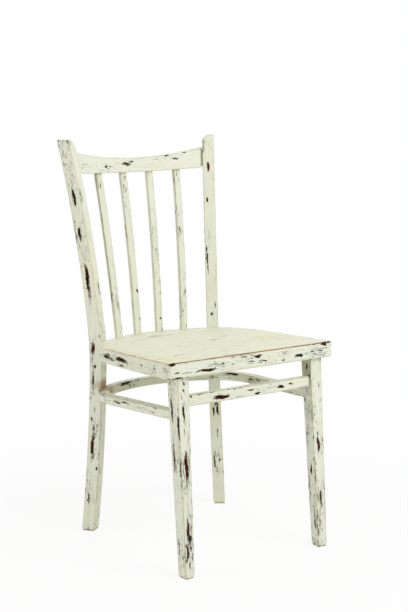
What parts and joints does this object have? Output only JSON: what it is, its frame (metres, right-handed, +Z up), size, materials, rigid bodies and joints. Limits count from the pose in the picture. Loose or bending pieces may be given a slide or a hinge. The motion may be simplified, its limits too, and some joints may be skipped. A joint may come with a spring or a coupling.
{
  "type": "side chair",
  "caption": "Old bentwood side chair with a slatted back, a solid seat and a U-shaped stretcher hoop, its off-white paint peeling and worn.",
  "frame": {"origin": "centre of the chair's bounding box at floor level", "axes": "+Z up, +X to the right of a viewer who faces the seat's front edge, -Y the way the chair faces"},
  "size_m": [0.4288, 0.4992, 0.8845],
  "materials": {
    "peeling_paint": "old off-white paint, chipped down to dark brown wood",
    "bare_wood": "unpainted, aged",
    "rusty_steel": "rusted and painted over"
  },
  "bodies": {
    "root": {"rear_post_left": "peeling_paint", "rear_post_right": "peeling_paint", "crest_rail": "peeling_paint", "back_slat_1": "peeling_paint", "back_slat_2": "peeling_paint", "back_slat_3": "peeling_paint", "back_slat_4": "peeling_paint", "seat_panel": "peeling_paint", "seat_hoop": "peeling_paint", "seat_front_rail": "peeling_paint", "corner_block_left": "bare_wood", "corner_block_right": "bare_wood", "front_leg_left": "peeling_paint", "front_leg_right": "peeling_paint", "front_stretcher": "peeling_paint", "stretcher_hoop": "peeling_paint", "seat_bolts": "rusty_steel", "seat_washers": "rusty_steel", "seat_nuts": "rusty_steel", "hoop_screws": "rusty_steel", "block_screws": "rusty_steel"}
  },
  "joints": []
}
